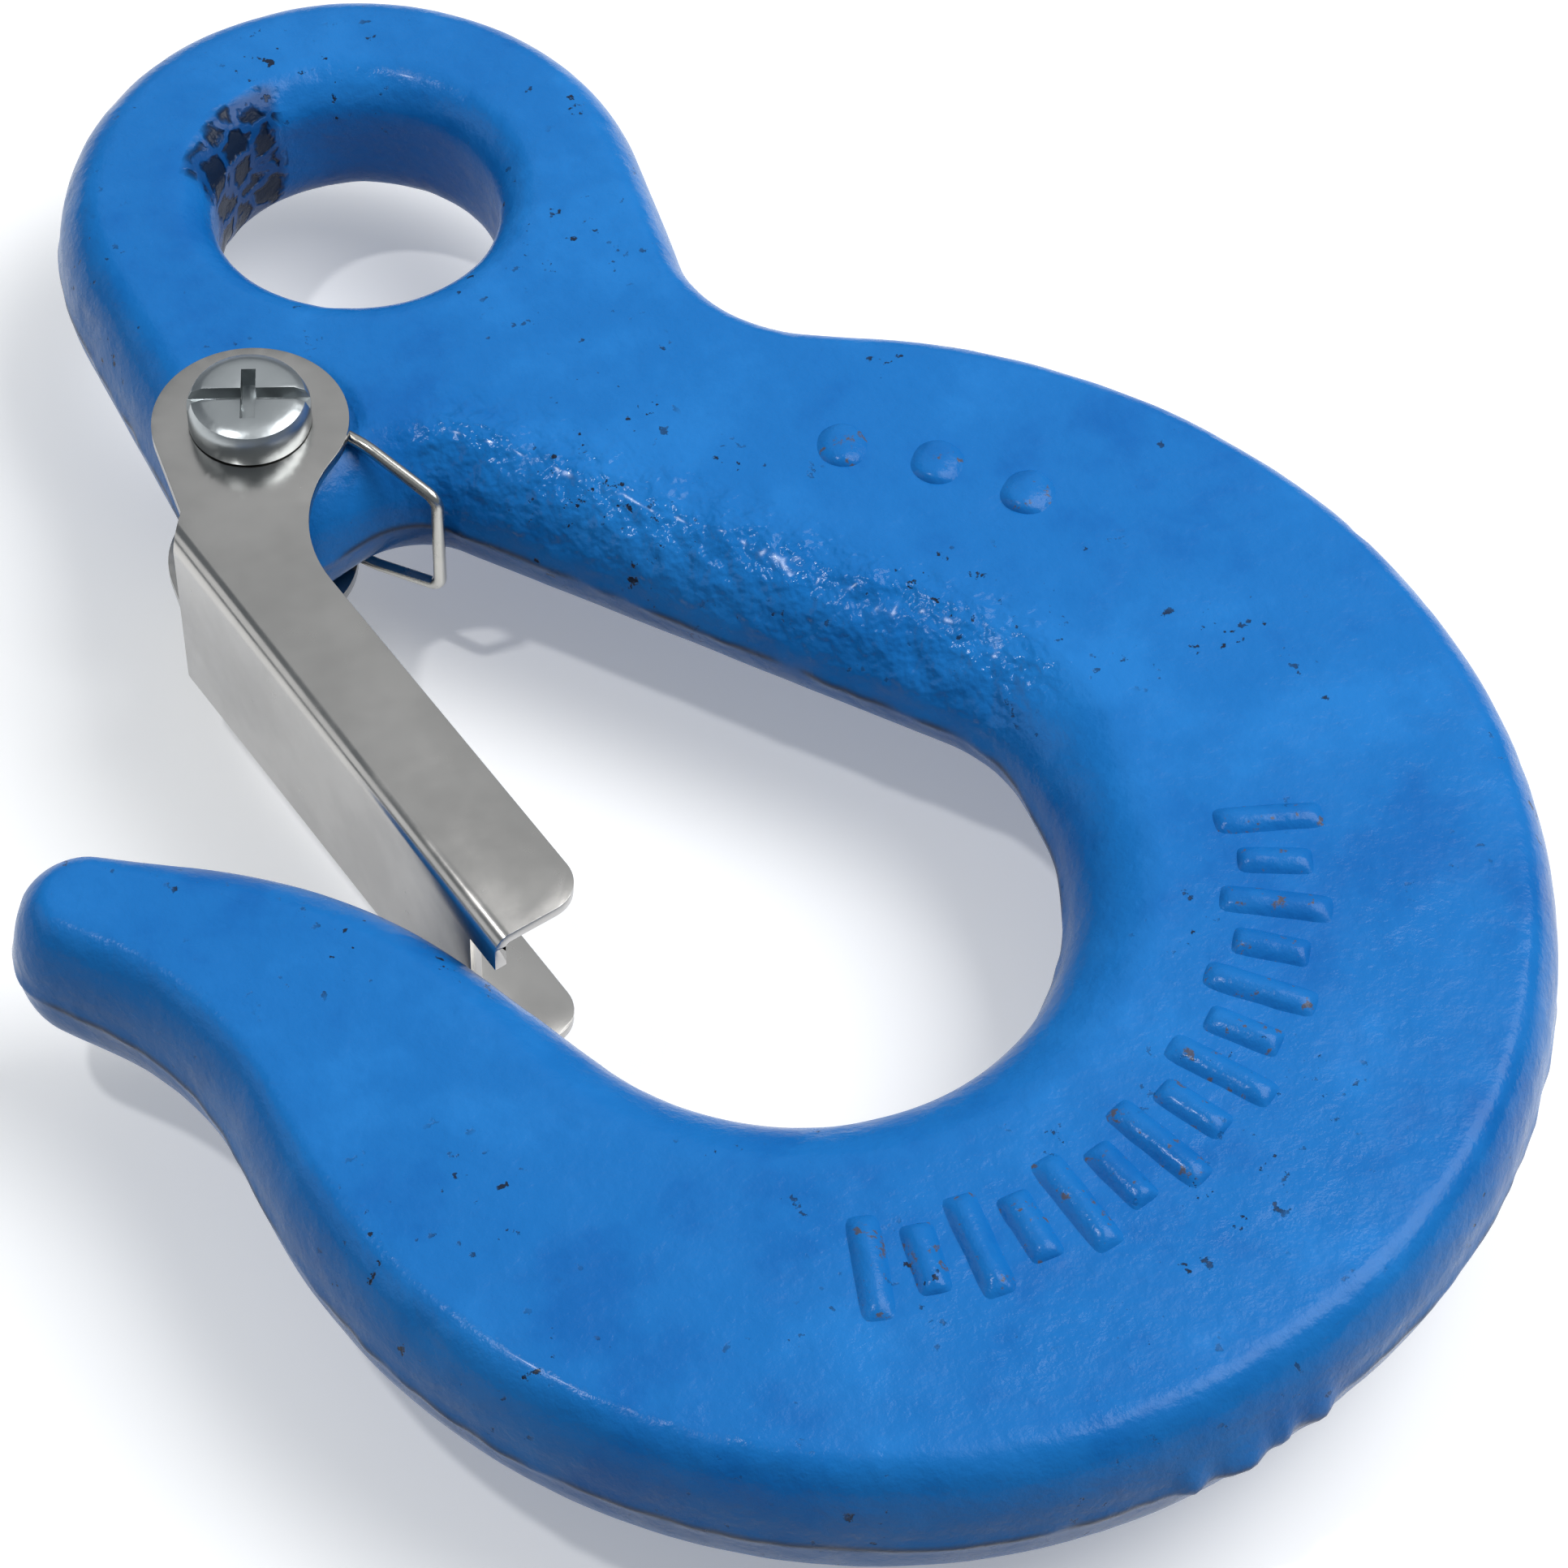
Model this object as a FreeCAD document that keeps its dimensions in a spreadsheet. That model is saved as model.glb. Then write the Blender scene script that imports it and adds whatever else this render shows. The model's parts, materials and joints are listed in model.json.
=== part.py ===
"""Eye slip hook with a sprung safety latch, for trailer and recovery chain.

Frame, in millimetres: the origin is the centre of the eye, the hook lies in
the XY plane with its forging's parting line at Z = 0, and -Y is the load line,
from the eye to the middle of the bowl. The screw's head is on the +Z side.
"""
import FreeCAD, Part
import Sketcher
import math
import os

from FreeCAD import Placement, Rotation, Vector

os.makedirs("parts", exist_ok=True)
doc = FreeCAD.newDocument("chain_hook")

# ---------------------------------------------------------------- the sheet

SIZES = [
    # the forging's thickness and section
    ("hook_thickness", 17.4),       # face to face
    ("band_height", 2.4),           # upright band along the parting line
    ("knee_rise", 3.6),             # height of the flank's lower bend over the parting line
    ("knee_share", 0.09),           # part of the flank's width that is gone at the knee
    ("crest_drop", 1.1),            # depth of the rolled crest below the face
    ("crest_share", 0.62),          # part of the flank's width that is gone at the crest
    # the eye
    ("eye_radius", 31.0),
    ("eye_flank", 5.5),
    ("bore_radius", 14.8),
    ("bore_wall", 7.0),             # length of the bore's straight wall
    ("bore_flare", 4.6),            # how far the bore opens at each face
    ("flare_share", 0.25),          # part of the flare reached at half its depth
    # the pivot, the lug round it and the hollow between the lug and the shank
    ("pivot_out", 4.9),             # pivot beyond the eye's edge
    ("pivot_bearing", -131.0),      # direction of the pivot from the eye, in degrees
    ("lug_across", 1.3),            # from the pivot
    ("lug_down", 1.9),
    ("lug_radius", 9.4),
    ("lug_flank", 6.0),
    ("spot_depth", 0.7),            # spot face under each ear
    ("spot_margin", 5.0),           # spot face beyond the coils, for the start of a leg
    ("notch_across", 9.4),          # from the pivot
    ("notch_down", 17.9),
    ("notch_radius", 7.8),
    ("notch_flank", 6.6),
    # the bowl
    ("load_length", 95.1),          # centre of the eye to the centre of the bowl
    ("bowl_radius", 25.6),
    ("bowl_flank", 8.0),
    ("corner_across", 11.5),        # from the bowl's centre, as the rest below
    ("corner_up", 3.1),
    ("corner_radius", 14.4),
    ("corner_flank", 8.4),
    # the tip
    ("nose_across", -59.4),
    ("nose_up", 24.6),
    ("nose_radius", 7.0),
    ("nose_flank", 4.2),
    ("crown_radius", 47.5),         # inner side of the tip
    ("crown_flank", 6.6),
    ("crown_run", 16.5),            # straight run from the bowl to the crown
    ("nape_radius", 29.3),          # hollow behind the tip
    ("nape_flank", 4.2),
    ("nape_run", 6.0),              # straight run from the nape to the heel
    ("nose_run", 5.0),              # straight run on either side of the nose
    # the outside of the bowl and the back
    ("heel_across", 2.9),
    ("heel_up", -8.3),
    ("heel_radius", 59.4),
    ("heel_flank", 4.6),
    ("back_across", 5.2),
    ("back_up", -1.3),
    ("back_radius", 66.0),
    ("back_flank", 4.6),
    ("neck_radius", 14.1),          # hollow between the back and the eye
    ("neck_flank", 4.6),
    ("neck_run", 6.4),              # straight run from the back to the neck
    ("eye_run", 16.0),              # straight run from the neck to the eye
    # the screw
    ("screw_radius", 3.0),
    ("screw_play", 0.08),           # running clearance of the latch on the screw
    ("hook_play", 0.2),             # clearance of the screw in the lug
    ("seat_gap", 0.15),             # the head and the nut stand off the ears by this
    ("head_radius", 6.0),
    ("head_height", 3.7),
    ("head_dome", 1.5),             # rounding of the head's upper edge
    ("slot_width", 1.5),
    ("slot_depth", 1.5),
    ("cross_width", 1.4),
    ("cross_span", 6.4),
    ("cross_depth", 2.4),
    ("thread_proud", 1.4),          # thread beyond the nut
    # the lock nut
    ("nut_flats", 10.0),
    ("nut_height", 4.6),
    ("nut_play", 0.03),             # between the two threads
    ("nut_chamfer", 0.58),          # slope of the cone on the hexagon's corners
    ("collar_height", 1.9),
    ("collar_radius", 4.4),
    ("insert_radius", 3.75),
    ("insert_height", 1.5),
    # the latch
    ("side_gap", 1.0),              # cheek to the forging's face
    ("sheet_gauge", 1.2),
    ("ear_radius", 9.6),
    ("web_drop", 14.2),             # pivot to the web's outer face
    ("cheek_drop", 4.1),            # pivot to the cheeks' free edge
    ("web_start", 9.2),
    ("shoulder_start", 6.4),
    ("shoulder_drop", 11.6),
    ("cheek_round", 14.0),          # hollow between an ear and its cheek
    ("end_round", 3.5),
    ("bend_radius", 1.7),
    ("web_cutback", 4.2),           # the web is short between its two end lobes
    ("web_lobe", 4.4),
    ("stop_gap", 0.4),              # web's end to the hook's tip when closed
    ("stop_bearing", 24.0),         # where the web's end meets the crown, in degrees
    # the spring
    ("wire_radius", 0.65),
    ("coil_radius", 5.2),
    ("loop_reach", 15.4),           # crossbar, along the latch from the pivot
    ("loop_rise", 11.5),            # crossbar, square to the latch from the pivot
    ("loop_half_width", 6.5),
    ("loop_bend", 1.6),
    ("leg_bend", 8.0),
    ("leg_run", 10.0),               # start of a leg before it leans in
    ("foot_reach", 27.0),
    ("foot_gap", 0.25),             # the feet stand off the web by this
]

sheet = doc.addObject("Spreadsheet::Sheet", "Sizes")
for row, (alias, number) in enumerate(SIZES, start=1):
    sheet.set("A%d" % row, alias)
    sheet.set("B%d" % row, str(number))
    sheet.setAlias("B%d" % row, alias)

# Sizes that follow from others: the latch straddles the forging, and the
# spring's coils lie between the spot faces and the ears.
DERIVED = [
    ("ear_inside", "hook_thickness / 2 + side_gap"),
    ("ear_outside", "ear_inside + sheet_gauge"),
    ("spot_level", "hook_thickness / 2 - spot_depth"),
    ("coil_level", "(ear_inside + spot_level) / 2"),
    ("head_seat", "ear_outside + seat_gap"),
    ("nut_end", "head_seat + nut_height + collar_height"),
]
for row, (alias, formula) in enumerate(DERIVED, start=len(SIZES) + 1):
    sheet.set("A%d" % row, alias)
    sheet.set("B%d" % row, "=" + formula)
    sheet.setAlias("B%d" % row, alias)
doc.recompute()


def size(alias):
    """The number in the cell of that name."""
    return float(sheet.get(alias))


# ------------------------------------------------------------------ helpers

UP = Vector(0, 0, 1)


def cell(formula):
    """A formula of cell names, as an expression that other objects can hold."""
    words = []
    for word in formula.split():
        words.append("Sizes." + word if word[0].isalpha() else word)
    return " ".join(words)


def new_body(label):
    body = doc.addObject("PartDesign::Body", label)
    body.Label = label
    return body


def new_sketch(body, name, role="XY_Plane", lift=None):
    """A sketch on one of the body's origin planes, raised off it by a formula."""
    plane = [item for item in body.Origin.OriginFeatures if item.Role == role][0]
    sketch = body.newObject("Sketcher::SketchObject", name)
    sketch.AttachmentSupport = [(plane, "")]
    sketch.MapMode = "FlatFace"
    if lift:
        sketch.setExpression(".AttachmentOffset.Base.z", cell(lift))
    return sketch


def add_circle(sketch, centre, formula, start):
    """A circle whose radius follows a formula of cells."""
    index = sketch.addGeometry(Part.Circle(centre, UP, start), False)
    number = sketch.addConstraint(Sketcher.Constraint("Radius", index, start))
    sketch.setExpression("Constraints[%d]" % number, cell(formula))


def add_polygon(sketch, points):
    """A closed run of straight lines through flat (x, y) points."""
    for (x1, y1), (x2, y2) in zip(points, points[1:] + points[:1]):
        sketch.addGeometry(Part.LineSegment(Vector(x1, y1, 0), Vector(x2, y2, 0)), False)


def add_pad(body, sketch, name, formula, both_ways=False):
    pad = body.newObject("PartDesign::Pad", name)
    pad.Profile = sketch
    pad.setExpression("Length", cell(formula))
    pad.Midplane = both_ways
    return pad


def add_pocket(body, sketch, name, formula, both_ways=False, upwards=False):
    """A cut from the sketch's plane: downwards unless it is told otherwise."""
    pocket = body.newObject("PartDesign::Pocket", name)
    pocket.Profile = sketch
    pocket.setExpression("Length", cell(formula))
    pocket.Midplane = both_ways
    pocket.Reversed = upwards
    return pocket


def polar(radius, degrees):
    angle = math.radians(degrees)
    return Vector(radius * math.cos(angle), radius * math.sin(angle), 0)


def edges_where(shape, test):
    """Names of the edges whose middle point and direction pass a test."""
    names = []
    for number, edge in enumerate(shape.Edges, start=1):
        middle = edge.valueAt((edge.FirstParameter + edge.LastParameter) / 2)
        if test(edge, middle):
            names.append("Edge%d" % number)
    return names


# -------------------------------------------------------------- the forging

# The outline is a belt round these circles, joined by their common tangents,
# with the metal on its left. Side is 1 where the metal fills the circle and
# -1 where the circle is a hollow.
ROUNDS = [
    ("eye", 1),
    ("lug", 1),
    ("notch", -1),
    ("corner", -1),
    ("bowl", -1),
    ("crown", 1),
    ("nose", 1),
    ("nape", -1),
    ("heel", 1),
    ("back", 1),
    ("neck", -1),
]


def pivot_point():
    return polar(size("eye_radius") + size("pivot_out"), size("pivot_bearing"))


def between(first, second, name):
    """Centre of a round that joins two others, each at its own distance.

    Of the two places, it is the one on the right of the way from first to second.
    """
    (centre1, distance1), (centre2, distance2) = first, second
    along = centre2 - centre1
    span = along.Length
    reach = (distance1 ** 2 - distance2 ** 2 + span ** 2) / (2 * span)
    if distance1 < abs(reach):
        raise ValueError("%s is too small to join its neighbours" % name)
    square = math.sqrt(distance1 ** 2 - reach ** 2)
    along.normalize()
    return centre1 + along * reach + Vector(along.y, -along.x, 0) * square


def round_centre(name):
    """Centre of each round of the outline."""
    if name == "eye":
        return Vector(0, 0, 0)
    if name in ("lug", "notch"):
        return pivot_point() + Vector(size(name + "_across"), -size(name + "_down"), 0)
    bowl = Vector(0, -size("load_length"), 0)
    if name == "bowl":
        return bowl
    if name in ("corner", "nose", "heel", "back"):
        return bowl + Vector(size(name + "_across"), size(name + "_up"), 0)
    radius = size(name + "_radius")
    if name == "crown":
        to_nose = math.hypot(radius - size("nose_radius"), size("nose_run"))
        to_bowl = math.hypot(radius + size("bowl_radius"), size("crown_run"))
        return between((round_centre("nose"), to_nose), (round_centre("bowl"), to_bowl), name)
    if name == "nape":
        to_nose = math.hypot(radius + size("nose_radius"), size("nose_run"))
        to_heel = math.hypot(radius + size("heel_radius"), size("nape_run"))
        return between((round_centre("nose"), to_nose), (round_centre("heel"), to_heel), name)
    to_back = math.hypot(radius + size("back_radius"), size("neck_run"))
    to_eye = math.hypot(radius + size("eye_radius"), size("eye_run"))
    return between((round_centre("back"), to_back), (round_centre("eye"), to_eye), name)


def outline(inset):
    """The belt as curves, its edge moved into the metal by a share of each flank."""
    belt = []
    for name, side in ROUNDS:
        radius = size(name + "_radius") - side * inset * size(name + "_flank")
        belt.append((round_centre(name), side, radius))
    # a tangent's angle is that of its right-hand normal
    angles = []
    for (first, side1, radius1), (second, side2, radius2) in zip(belt, belt[1:] + belt[:1]):
        along = second - first
        lean = math.asin((side2 * radius2 - side1 * radius1) / along.Length)
        angles.append(math.atan2(along.y, along.x) - math.pi / 2 - lean)
    curves = []
    for index, (centre, side, radius) in enumerate(belt):
        start = angles[index - 1] + (0 if side > 0 else math.pi)
        end = angles[index] + (0 if side > 0 else math.pi)
        if side < 0:
            start, end = end, start
        turn = (end - start) % (2 * math.pi)
        curves.append(Part.ArcOfCircle(Part.Circle(centre, UP, radius), start, start + turn))
        following, next_side, next_radius = belt[(index + 1) % len(belt)]
        normal = Vector(math.cos(angles[index]), math.sin(angles[index]), 0)
        leave = centre + normal * (side * radius)
        arrive = following + normal * (next_side * next_radius)
        curves.append(Part.LineSegment(leave, arrive))
    return curves


def outline_sketch(body, name, inset, lift=None):
    sketch = new_sketch(body, name, lift=lift)
    for curve in outline(inset):
        sketch.addGeometry(curve, False)
    return sketch


def flare_points(sign):
    """The bore's mouth on one face, as (distance from the axis, height) points."""
    bore = size("bore_radius")
    wall = size("bore_wall") / 2
    face = size("hook_thickness") / 2
    flare = size("bore_flare")
    clear = 1.0
    half_depth = (wall + face) / 2
    points = [
        (bore - clear, wall),
        (bore, wall),
        (bore + flare * size("flare_share"), half_depth),
        (bore + flare, face),
        (bore + flare, face + clear),
        (bore - clear, face + clear),
    ]
    return [(x, sign * y) for x, y in points]


def make_hook_body():
    """Band along the parting line, sloped flanks up to each face, eye, lug and bores."""
    body = new_body("hook_body")
    band = outline_sketch(body, "band_outline", 0)
    add_pad(body, band, "band", "band_height", both_ways=True)
    levels = [
        outline_sketch(body, "flank_foot", 0, "band_height / 2"),
        outline_sketch(body, "flank_knee", size("knee_share"), "knee_rise"),
        outline_sketch(body, "flank_crest", size("crest_share"), "hook_thickness / 2 - crest_drop"),
        outline_sketch(body, "face_outline", 1, "hook_thickness / 2"),
    ]
    flank = body.newObject("PartDesign::AdditiveLoft", "flank")
    flank.Profile = levels[0]
    flank.Sections = levels[1:]
    flank.Ruled = True
    doc.recompute()
    other = body.newObject("PartDesign::Mirrored", "other_flank")
    other.Originals = [flank]
    plane = [item for item in body.Origin.OriginFeatures if item.Role == "XY_Plane"][0]
    other.MirrorPlane = (plane, [""])
    body.Tip = other
    doc.recompute()

    bore = new_sketch(body, "bore_circle")
    add_circle(bore, Vector(0, 0, 0), "bore_radius", size("bore_radius"))
    add_pocket(body, bore, "bore", "hook_thickness * 2", both_ways=True)
    doc.recompute()
    mouth = new_sketch(body, "mouth_profile", role="XZ_Plane")
    add_polygon(mouth, flare_points(1))
    add_polygon(mouth, flare_points(-1))
    flare = body.newObject("PartDesign::Groove", "mouths")
    flare.Profile = mouth
    flare.ReferenceAxis = (mouth, ["V_Axis"])
    flare.Angle = 360
    doc.recompute()

    pivot = pivot_point()
    for name, lift, upwards in (("front", "spot_level", True), ("rear", "0 - spot_level", False)):
        spot = new_sketch(body, name + "_spot", lift=lift)
        add_circle(spot, pivot, "coil_radius + spot_margin", size("coil_radius") + size("spot_margin"))
        add_pocket(body, spot, name + "_spot_face", "spot_depth * 2", upwards=upwards)
        doc.recompute()
    hole = new_sketch(body, "screw_circle")
    add_circle(hole, pivot, "screw_radius + hook_play", size("screw_radius") + size("hook_play"))
    add_pocket(body, hole, "screw_hole", "hook_thickness * 2", both_ways=True)
    return body


# ----------------------------------------------------------- screw and nut

def pivot_placement(degrees=0.0):
    """On the screw's axis, turned about it."""
    return Placement(pivot_point(), Rotation(UP, degrees))


def make_screw():
    """Pan head screw with a slot across a cross recess."""
    body = new_body("latch_screw")
    seat = size("head_seat")
    top = seat + size("head_height")
    shank = size("screw_radius")
    head = size("head_radius")
    dome = size("head_dome")
    end = -size("nut_end") - size("thread_proud")
    lead = shank * 0.15
    profile = new_sketch(body, "profile", role="XZ_Plane")
    add_polygon(profile, [
        (0, end),
        (shank - lead, end),
        (shank, end + lead),
        (shank, seat),
        (head, seat),
        (head, top - dome),
        (head - dome * 0.3, top - dome * 0.3),
        (head - dome, top),
        (0, top),
    ])
    turned = body.newObject("PartDesign::Revolution", "turned")
    turned.Profile = profile
    turned.ReferenceAxis = (profile, ["V_Axis"])
    turned.Angle = 360
    doc.recompute()
    recesses = [
        ("slot", head * 2.2, size("slot_width"), "slot_depth"),
        ("cross_long", size("cross_span"), size("cross_width"), "cross_depth"),
        ("cross_short", size("cross_width"), size("cross_span"), "cross_depth"),
    ]
    for name, length, width, depth in recesses:
        recess = new_sketch(body, name + "_outline", lift="head_seat + head_height")
        add_polygon(recess, [
            (-length / 2, -width / 2),
            (length / 2, -width / 2),
            (length / 2, width / 2),
            (-length / 2, width / 2),
        ])
        add_pocket(body, recess, name, depth)
        doc.recompute()
    body.Placement = pivot_placement(-25.0)
    return body


def make_nut():
    """Hexagon with a plain collar that holds the locking ring."""
    body = new_body("lock_nut")
    corner = size("nut_flats") / math.sqrt(3)
    hexagon = new_sketch(body, "hexagon", lift="0 - head_seat - nut_height")
    add_polygon(hexagon, [tuple(polar(corner, 60 * turn))[:2] for turn in range(6)])
    add_pad(body, hexagon, "flats", "nut_height")
    doc.recompute()
    collar = new_sketch(body, "collar_circle", lift="0 - nut_end")
    add_circle(collar, Vector(0, 0, 0), "collar_radius", size("collar_radius"))
    add_pad(body, collar, "collar", "collar_height")
    doc.recompute()
    seat = new_sketch(body, "ring_seat", lift="0 - nut_end")
    add_circle(seat, Vector(0, 0, 0), "insert_radius", size("insert_radius"))
    add_pocket(body, seat, "ring_pocket", "insert_height", upwards=True)
    doc.recompute()
    thread = new_sketch(body, "thread_circle")
    add_circle(thread, Vector(0, 0, 0), "screw_radius + nut_play", size("screw_radius") + size("nut_play"))
    add_pocket(body, thread, "thread", "nut_end * 3", both_ways=True)
    doc.recompute()

    # both ends of the hexagon lose their corners to a cone
    rim = corner * 1.1
    flat = size("nut_flats") / 2
    near = -size("head_seat")
    far = near - size("nut_height")
    depth = (rim - flat) * size("nut_chamfer")
    cones = new_sketch(body, "cone_profile", role="XZ_Plane")
    add_polygon(cones, [(flat, near), (rim, near - depth), (rim, near + depth), (flat, near + depth)])
    add_polygon(cones, [(flat, far), (rim, far + depth), (rim, far - depth), (flat, far - depth)])
    corners = body.newObject("PartDesign::Groove", "corners")
    corners.Profile = cones
    corners.ReferenceAxis = (cones, ["V_Axis"])
    corners.Angle = 360
    doc.recompute()
    body.Placement = pivot_placement(12.0)
    return body


def make_insert():
    """Nylon ring pressed into the nut's collar."""
    outer = doc.addObject("Part::Cylinder", "ring_outside")
    outer.setExpression("Radius", cell("insert_radius"))
    outer.setExpression("Height", cell("insert_height"))
    inner = doc.addObject("Part::Cylinder", "ring_inside")
    inner.setExpression("Radius", cell("screw_radius + nut_play"))
    inner.setExpression("Height", cell("insert_height"))
    ring = doc.addObject("Part::Cut", "nut_insert")
    ring.Label = "nut_insert"
    ring.Base = outer
    ring.Tool = inner
    pivot = pivot_placement()
    ring.Placement = Placement(pivot.Base - UP * size("nut_end"), pivot.Rotation)
    return ring


# --------------------------------------------------------------- the latch

def stop_point():
    """Where the end of the web lies when the latch is closed, from the pivot.

    It is on the crown of the tip, a small gap off the metal.
    """
    stand_off = size("crown_radius") + size("stop_gap")
    return round_centre("crown") + polar(stand_off, size("stop_bearing")) - pivot_point()


def web_end():
    """Length along the latch from the pivot to the end of its web."""
    return math.sqrt(stop_point().Length ** 2 - size("web_drop") ** 2)


def latch_length():
    return web_end() + size("web_cutback")


def closed_angle():
    """Direction of the closed latch in degrees."""
    stop = stop_point()
    droop = math.atan2(size("web_drop"), web_end())
    return math.degrees(math.atan2(stop.y, stop.x) + droop)


def cheek_outline():
    """Side of the latch, pivot at 0, its length along +X and the throat's outside at -Y."""
    ear = size("ear_radius")
    drop = size("web_drop")
    edge = -size("cheek_drop")
    length = latch_length()
    hollow = size("cheek_round")
    end_round = size("end_round")
    # the hollow touches both the ear and the cheek's free edge
    hollow_y = edge + hollow
    hollow_x = math.sqrt((ear + hollow) ** 2 - hollow_y ** 2)
    hollow_centre = Vector(hollow_x, hollow_y, 0)
    ear_end = hollow_centre * (ear / (ear + hollow))
    # the shoulder's line leaves the ear as a tangent
    shoulder = Vector(size("shoulder_start"), -size("shoulder_drop"), 0)
    swing = math.acos(ear / shoulder.Length)
    tangent_angle = math.atan2(shoulder.y, shoulder.x) - swing
    ear_start = polar(ear, math.degrees(tangent_angle))
    ear_top = polar(ear, 135)
    hollow_end = Vector(hollow_x, edge, 0)
    toward = ((ear_end - hollow_centre) + (hollow_end - hollow_centre)).normalize()
    round_centre_point = Vector(length - end_round, edge - end_round, 0)
    corner_middle = round_centre_point + polar(end_round, 45)
    return [
        Part.Arc(ear_end, ear_top, ear_start),
        Part.LineSegment(ear_start, shoulder),
        Part.LineSegment(shoulder, Vector(size("web_start"), -drop, 0)),
        Part.LineSegment(Vector(size("web_start"), -drop, 0), Vector(length, -drop, 0)),
        Part.LineSegment(Vector(length, -drop, 0), Vector(length, edge - end_round, 0)),
        Part.Arc(
            Vector(length, edge - end_round, 0),
            corner_middle,
            Vector(length - end_round, edge, 0),
        ),
        Part.LineSegment(Vector(length - end_round, edge, 0), hollow_end),
        Part.Arc(hollow_end, hollow_centre + toward * hollow, ear_end),
    ]


def make_latch():
    """One strip folded to a channel: a web, two cheeks and an ear on each."""
    body = new_body("latch")
    side = new_sketch(body, "cheek_outline")
    for curve in cheek_outline():
        side.addGeometry(curve, False)
    add_pad(body, side, "blank", "ear_outside * 2", both_ways=True)
    doc.recompute()

    drop = size("web_drop")
    gauge = size("sheet_gauge")
    far = latch_length() * 2
    inside = new_sketch(body, "inside_outline")
    add_polygon(inside, [(-far, gauge - drop), (far, gauge - drop), (far, far), (-far, far)])
    add_pocket(body, inside, "inside", "ear_inside * 2", both_ways=True)
    doc.recompute()

    def fold(level, half_width):
        """Edges along the latch at one height and one distance from the middle."""
        def test(edge, middle):
            lengthwise = abs(edge.tangentAt(edge.FirstParameter).x) > 0.99
            return lengthwise and abs(middle.y - level) < 1e-3 and abs(abs(middle.z) - half_width) < 1e-3
        return test

    for name, level, half_width, radius in (
        ("inner_bend", gauge - drop, size("ear_inside"), "bend_radius - sheet_gauge"),
        ("outer_bend", -drop, size("ear_outside"), "bend_radius"),
    ):
        channel = body.Tip
        bend = body.newObject("PartDesign::Fillet", name)
        bend.Base = (channel, edges_where(channel.Shape, fold(level, half_width)))
        bend.setExpression("Radius", cell(radius))
        doc.recompute()

    cut_start = web_end()
    half_cut = size("ear_outside") - size("web_lobe")
    cutback = new_sketch(body, "cutback_outline", role="XZ_Plane")
    add_polygon(cutback, [
        (cut_start, -half_cut),
        (far, -half_cut),
        (far, half_cut),
        (cut_start, half_cut),
    ])
    add_pocket(body, cutback, "web_cut", "web_drop * 4", both_ways=True)
    doc.recompute()
    pin = new_sketch(body, "pin_circle")
    add_circle(pin, Vector(0, 0, 0), "screw_radius + screw_play", size("screw_radius") + size("screw_play"))
    add_pocket(body, pin, "pin_holes", "ear_outside * 4", both_ways=True)
    body.Placement = pivot_placement(closed_angle())
    return body


# -------------------------------------------------------------- the spring

def bend_at(before, corner, after, radius):
    """The arc of that radius that rounds a corner, as its three points."""
    inward = (before - corner).normalize()
    outward = (after - corner).normalize()
    half = inward.getAngle(outward) / 2
    reach = radius / math.tan(half)
    centre = corner + (inward + outward).normalize() * (radius / math.sin(half))
    start = corner + inward * reach
    end = corner + outward * reach
    middle = centre + (corner - centre).normalize() * radius
    return start, middle, end


def make_spring():
    """Double torsion spring: two coils on the screw, joined by a loop, with two feet.

    It is worked out in the latch's own frame, as half a wire and its mirror.
    """
    coil = size("coil_radius")
    level = size("coil_level")
    loop = Vector(size("loop_reach"), size("loop_rise"), size("loop_half_width"))
    flat_loop = Vector(loop.x, loop.y, 0)
    foot = Vector(
        size("foot_reach"),
        size("sheet_gauge") + size("wire_radius") + size("foot_gap") - size("web_drop"),
        level,
    )
    flat_foot = Vector(foot.x, foot.y, 0)
    leave = math.atan2(loop.y, loop.x) + math.acos(coil / flat_loop.Length)
    arrive = math.atan2(foot.y, foot.x) - math.acos(coil / flat_foot.Length) + 2 * math.pi
    rise = Vector(0, 0, level)
    top = polar(coil, math.degrees(leave)) + rise
    side = polar(coil, math.degrees((leave + arrive) / 2)) + rise
    bottom = polar(coil, math.degrees(arrive)) + rise
    toward_loop = (flat_loop - (top - rise)).normalize()
    lean = top + toward_loop * size("leg_run")
    middle = Vector(loop.x, loop.y, 0)

    arm_start, arm_middle, arm_end = bend_at(top, lean, loop, size("leg_bend"))
    bar_start, bar_middle, bar_end = bend_at(lean, loop, middle, size("loop_bend"))
    half = [
        Part.LineSegment(foot, bottom).toShape(),
        Part.Arc(bottom, side, top).toShape(),
        Part.LineSegment(top, arm_start).toShape(),
        Part.Arc(arm_start, arm_middle, arm_end).toShape(),
        Part.LineSegment(arm_end, bar_start).toShape(),
        Part.Arc(bar_start, bar_middle, bar_end).toShape(),
        Part.LineSegment(bar_end, middle).toShape(),
    ]
    path = Part.Wire(half)
    section = Part.Wire(Part.Circle(foot, (bottom - foot).normalize(), size("wire_radius")).toShape())
    wire = path.makePipeShell([section], True, True)
    whole = wire.fuse(wire.mirror(Vector(0, 0, 0), UP)).removeSplitter()
    spring = doc.addObject("Part::Feature", "latch_spring")
    spring.Label = "latch_spring"
    spring.Shape = whole
    spring.Placement = pivot_placement(closed_angle())
    return spring


# -------------------------------------------------------------------- build

NODES = [
    make_hook_body(),
    make_latch(),
    make_spring(),
    make_screw(),
    make_nut(),
    make_insert(),
]
doc.recompute()

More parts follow.
